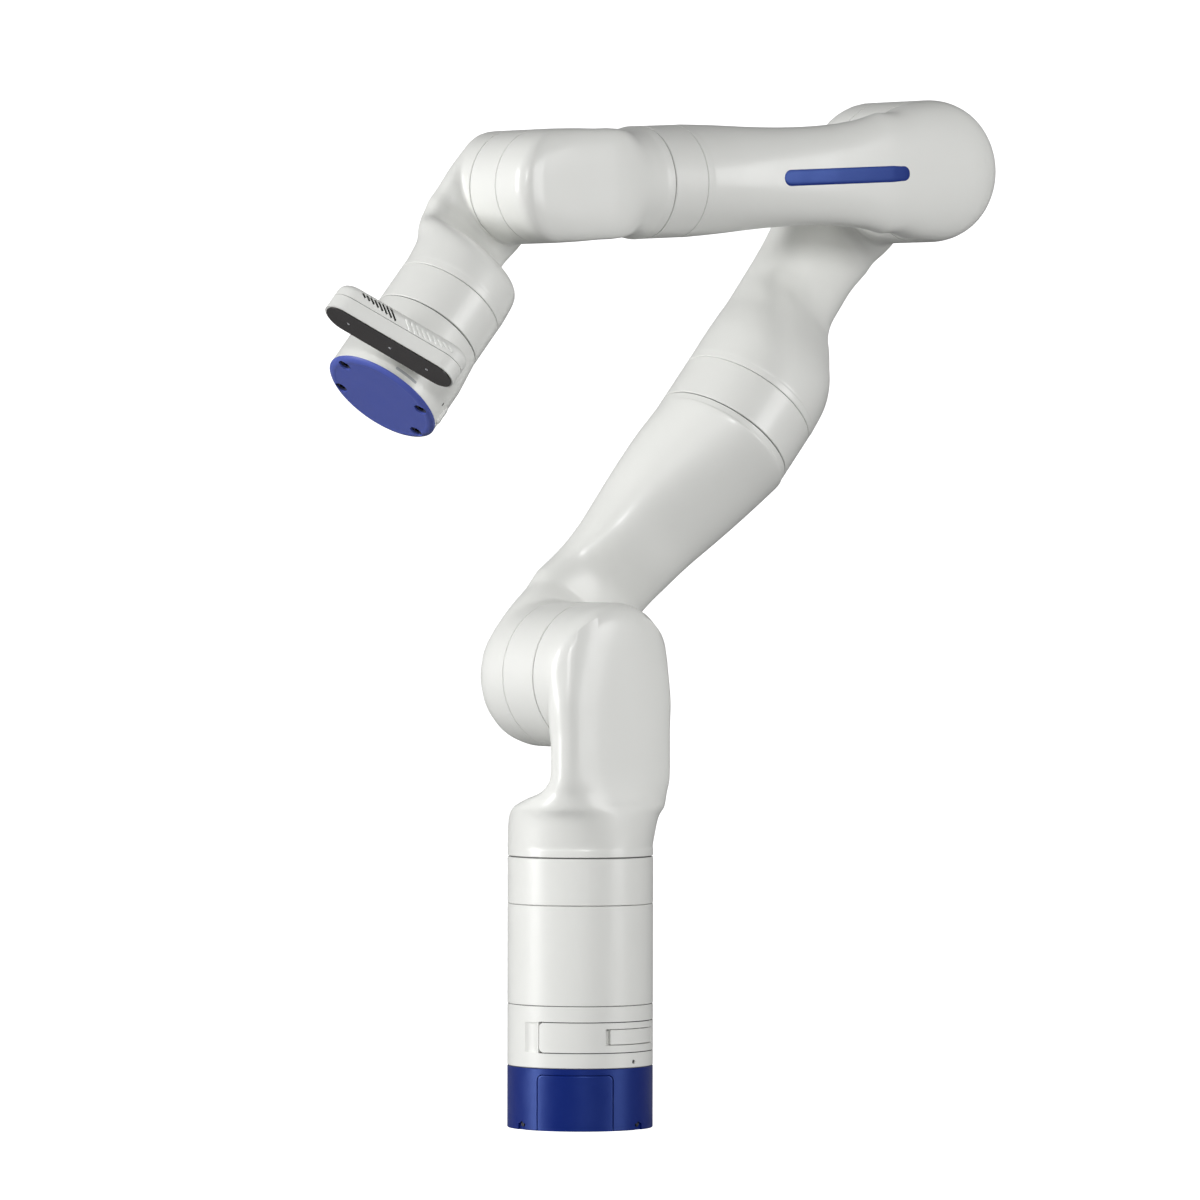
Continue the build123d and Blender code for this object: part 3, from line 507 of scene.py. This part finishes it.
def panel_point(across, height, width):
    """Outer face of the front panel: it rolls inwards over a short distance at its outline."""
    side = min(across, width - across)
    border = min(side, PANEL_TOP - height)
    if side < PANEL_CORNER and PANEL_TOP - height < PANEL_CORNER:
        border = PANEL_CORNER - hypot(PANEL_CORNER - side, PANEL_CORNER - PANEL_TOP + height)
    short = 1 - min(max(border, 0) / PANEL_EDGE, 1)
    return R_BIG - PANEL_EDGE * (1 - sqrt(1 - short ** 2))


def front_panel():
    width = radians(PANEL_TO - PANEL_FROM) * R_BIG
    border = PANEL_BORDER[-1]
    columns = [*PANEL_BORDER] + [border + (width - 2 * border) * k / PANEL_COLUMNS
                                 for k in range(1, PANEL_COLUMNS)]
    columns += [width - e for e in reversed(PANEL_BORDER)]
    rings = []
    for across in columns:
        side = min(across, width - across, PANEL_CORNER)
        top = PANEL_TOP - PANEL_CORNER + sqrt(PANEL_CORNER ** 2 - (PANEL_CORNER - side) ** 2)
        rows = [(top - border) * k / PANEL_ROWS for k in range(PANEL_ROWS)]
        rows += [top - e for e in reversed(PANEL_BORDER)]
        turn = radians(PANEL_FROM - 90) + across / R_BIG
        outer = [(panel_point(across, z, width), z) for z in rows]
        inner = [(R_BIG - PANEL_DEPTH, z) for z in reversed(rows)]
        rings += [(r * cos(turn), r * sin(turn), z) for r, z in outer + inner]
    count = 2 * (PANEL_ROWS + len(PANEL_BORDER))
    ends = [tuple(range(count)), tuple(range((len(columns) - 1) * count, len(columns) * count))]
    panel = make_object("badge_panel", rings, loop_faces(len(columns), count) + ends)
    return finish_piece(panel, "base", "front_panel", BLUE)


# ---- bracelet and vision module -----------------------------------------------------------
R_BRACELET = 38.0
BRACELET_TOP, BRACELET_TAPER, BRACELET_END = -16.3, -38.0, -68.0
FLANGE_FACE, RIM_WALL, TAPER_WALL = -61.5, 1.5, 8.0
VISION_CENTRE = (-2.9, -60.0)
VISION_SIDE, VISION_FACE = -73.0, -64.5
LENS_MARKS = (-28.8, 0.85, 27.4)
RIB_COUNT = 9


def bracelet_piece():
    inner, rim = R_BRACELET - WALL, R_BRACELET - RIM_WALL
    profile = [(R_SMALL - CHAMFER, BRACELET_TOP), (R_SMALL, BRACELET_TOP - CHAMFER),
               (R_SMALL + 0.1, BRACELET_TOP - LOOP), (R_BRACELET - 0.1, BRACELET_TAPER + LOOP),
               (R_BRACELET, BRACELET_TAPER - LOOP), (R_BRACELET, BRACELET_END + LOOP),
               (R_BRACELET, BRACELET_END + CHAMFER), (R_BRACELET - CHAMFER, BRACELET_END),
               (rim, BRACELET_END), (rim, FLANGE_FACE), (inner, FLANGE_FACE),
               (inner, BRACELET_TAPER), (R_SMALL - WALL, BRACELET_TAPER + TAPER_WALL),
               (R_SMALL - WALL, BRACELET_TOP)]
    shell = lathe("bracelet_casting", profile, AFTER[6])
    return finish_piece(shell, "bracelet", "bracelet_shell", PAINT)


def pill(name, length, width, low, high, transform, edge=0.15, steps=14):
    """A flat bar with round ends, lying along X, from low to high along Z, with soft edges."""
    half, radius = (length - width) / 2, width / 2
    rings = []
    for inset, z in ((edge, low), (0, low + edge), (0, high - edge), (edge, high)):
        for side in (1, -1):
            for step in range(steps + 1):
                turn = pi * (step / steps - 0.5) + (0 if side > 0 else pi)
                rings.append((side * half + (radius - inset) * cos(turn), (radius - inset) * sin(turn), z))
    count = 2 * (steps + 1)
    faces = loop_faces(4, count) + [tuple(range(count)), tuple(range(3 * count, 4 * count))]
    return make_object(name, rings, faces, transform)


def inlay(name, surface, start, stop, centre, half, rise, transform, steps=48):
    """A pill-shaped inlay that follows surface(u, v, lift) and rises a little above it."""
    across = [k / 6 - 1 for k in range(13)]
    rings = []
    for k in range(steps + 1):
        u = start + (stop - start) * (1 - cos(pi * k / steps)) / 2
        past = max(start + half - u, u - stop + half, 0)
        width = sqrt(max(half ** 2 - past ** 2, 0))
        crown = rise * width / half
        rings += [surface(u, centre + width * v, crown * (1 - v ** 6)) for v in across]
        rings += [surface(u, centre + width * v, -0.4) for v in reversed(across)]
    return make_object(name, rings, loop_faces(steps + 1, 2 * len(across)), transform)


def on_bracelet(bearing, height):
    """Frame on the bracelet's side: Z outwards, X along the joint's axis."""
    return AFTER[6] @ place(turn=(0, 0, bearing)) @ place((R_BRACELET, 0, height), (0, 90, 0))


def round_bracelet(bearing, height, lift):
    turn = radians(bearing)
    return ((R_BRACELET + lift) * cos(turn), (R_BRACELET + lift) * sin(turn), height)


def bracelet_details():
    port = pill("service_port", 2.4, 1.3, -0.6, 0.03, on_bracelet(-17, -57.2), 0.02)
    finish_piece(port, "bracelet", None, BLACK)
    lug = pill("rim_lug", 12.5, 5.0, -1.0, 1.3, on_bracelet(-4, -60.5), 0.5)
    finish_piece(lug, "bracelet", None, PAINT)
    # Painted shade: a grey strip raised a hair above the bracelet's surface stands for the shade inside a
    # shallow slot in the rim.
    slot = inlay("rim_slot_shade", lambda u, v, lift: round_bracelet(u, v, lift / 2),
                 -84, -60, -63.6, 0.9, 0.03, AFTER[6])
    return finish_piece(slot, "bracelet", None, GREY)


def vision_details():
    for number, x in enumerate(LENS_MARKS):
        at = AFTER[6] @ place((VISION_CENTRE[0] + x, VISION_CENTRE[1], VISION_FACE), (180, 0, 0))
        mark = pill(f"lens_mark_{number + 1}", 2.0, 1.9, -0.3, 0.03, at, 0.02)
        finish_piece(mark, "bracelet", None, GREY)
    for number in range(RIB_COUNT):
        part = number / (RIB_COUNT - 1)
        spot = (2.0 + 30.0 * part, VISION_SIDE, -50.8 + 0.9 * part)
        at = AFTER[6] @ place(spot, (90, 0, 0)) @ place(turn=(0, 0, -42 + 14 * part))
        rib = pill(f"case_rib_{number + 1}", 9.5 - 4.0 * part, 1.5, -0.4, 0.5 - 0.2 * part, at, 0.25)
        finish_piece(rib, "bracelet", None, CASE)


# ---- forearm bar --------------------------------------------------------------------------
BAR_FROM, BAR_TO, BAR_MIDDLE, BAR_HALF, BAR_RISE = 38.0, 138.0, 0.9, 5.2, 0.3


def link_face(link, x, y, lift):
    """Point on a link's outer face, lifted off it a little."""
    stations = refine(link["stations"], 8)
    at = min(max(x, stations[0][0]), stations[-1][0])
    a, b = next((a, b) for a, b in zip(stations, stations[1:]) if a[0] <= at <= b[0])
    t = (at - a[0]) / (b[0] - a[0])
    low, high, half_width, squareness = (a[k] + (b[k] - a[k]) * t for k in (1, 2, 3, 5))
    rise = (1 - abs(y / half_width) ** squareness) ** (1 / squareness)
    return (x, y, (low + high) / 2 + (high - low) / 2 * rise + lift)


def forearm_bar():
    """Plain blue bar on the forearm's outer face."""
    transform, link = LINKS["forearm"]
    bar = inlay("forearm_bar", lambda x, y, lift: link_face(link, x, y, lift),
                BAR_FROM, BAR_TO, BAR_MIDDLE, BAR_HALF, BAR_RISE, transform, 72)
    return finish_piece(bar, "forearm", None, BLUE)


# ---- studio -------------------------------------------------------------------------------
EYE = (-3.0458, -5507.6478, 409.7644)
EYE_YAW, EYE_PITCH, EYE_ROLL = -0.0027465, -0.0153889, -0.0017143
SENSOR_WIDTH, FOCAL_LENGTH, SHIFT_UP, CLIP_END = 36, 262.302, 0.00927, 50
FLOOR_LEVEL, FLOOR_RINGS = -0.3, (0.02, 400, 2000, 9000, 60000)
FLOOR_GLOW, AIR_GLOW = 1.2, 1.3         # brightness straight to the camera
AIR_LEVEL, AIR_OVERHEAD = 0.32, 0.05


def camera():
    data = bpy.data.cameras.new("camera")
    data.sensor_width = SENSOR_WIDTH
    data.lens = FOCAL_LENGTH
    data.shift_y = SHIFT_UP
    data.clip_end = CLIP_END
    eye = bpy.data.objects.new("camera", data)
    eye.matrix_world = (
        Matrix.Translation(Vector(EYE) * MM)
        @ Matrix.Rotation(EYE_YAW, 4, "Z") @ Matrix.Rotation(EYE_PITCH, 4, "X")
        @ Matrix.Rotation(EYE_ROLL, 4, "Y") @ Matrix.Rotation(radians(90), 4, "X"))
    bpy.context.collection.objects.link(eye)
    bpy.context.scene.camera = eye


def studio_light(name, spot, aim, size, power):
    data = bpy.data.lights.new(name, "AREA")
    data.shape = "RECTANGLE"
    data.size, data.size_y = size
    data.energy = power
    light = bpy.data.objects.new(name, data)
    light.location = spot
    light.rotation_euler = (Vector(aim) - Vector(spot)).to_track_quat("-Z", "Y").to_euler()
    bpy.context.collection.objects.link(light)


def seen_directly(tree, low, high):
    """A value that is high where the camera looks straight at the studio, and low for its light."""
    path = tree.nodes.new("ShaderNodeLightPath")
    pick = tree.nodes.new("ShaderNodeMapRange")
    pick.inputs["To Min"].default_value = low
    pick.inputs["To Max"].default_value = high
    tree.links.new(path.outputs["Is Camera Ray"], pick.inputs["Value"])
    return pick


def studio_floor():
    rings = [(radius, 0) for radius in FLOOR_RINGS]
    floor = lathe("studio_floor", rings, place((0, 0, FLOOR_LEVEL)), 96, False)
    paper = Shader("studio_paper", Roughness=0.9)
    paper.colour(paper.mix(paper.noise(2), (0.36, 0.36, 0.36), (0.38, 0.38, 0.38)))
    paper.shader.inputs["Emission Color"].default_value = (1, 1, 1, 1)
    glow = seen_directly(paper.tree, 0.0, FLOOR_GLOW)
    paper.link(glow.outputs["Result"], paper.shader.inputs["Emission Strength"])
    floor.data.materials.append(paper.material)


def studio_air():
    """Pale all round, falling off overhead so that upper faces keep their shape."""
    world = bpy.data.worlds.new("studio")
    world.use_nodes = True
    tree = world.node_tree
    split = tree.nodes.new("ShaderNodeSeparateXYZ")
    tree.links.new(tree.nodes.new("ShaderNodeTexCoord").outputs["Generated"], split.inputs[0])
    fall = tree.nodes.new("ShaderNodeMapRange")
    fall.inputs["To Min"].default_value = AIR_LEVEL
    fall.inputs["To Max"].default_value = AIR_OVERHEAD
    tree.links.new(split.outputs["Z"], fall.inputs["Value"])
    pick = seen_directly(tree, 0.0, AIR_GLOW)
    tree.links.new(fall.outputs["Result"], pick.inputs["To Min"])
    tree.links.new(pick.outputs["Result"], tree.nodes["Background"].inputs["Strength"])
    tree.nodes["Background"].inputs["Color"].default_value = (1, 1, 1, 1)
    bpy.context.scene.world = world


def studio():
    bpy.context.scene.view_settings.view_transform = "Standard"
    studio_light("key", (-4.6, -1.2, 1.3), (0, 0, 0.35), (1.6, 2.6), 205)
    studio_light("side_fill", (4.2, -2.2, 1.1), (0, 0, 0.35), (1.8, 2.4), 88)
    studio_light("front_fill", (0.6, -5.6, 2.0), (0, 0, 0.4), (1.2, 1.2), 100)
    studio_floor()
    studio_air()


dress_nodes()
for link_name, (link_place, link_sizes) in LINKS.items():
    link_piece(link_name, link_place, link_sizes)
for band_number in BANDS:
    band_piece(band_number)
base_piece()
seam_shades()
front_panel()
bracelet_piece()
bracelet_details()
vision_details()
forearm_bar()
camera()
studio()

bpy.context.view_layer.update()
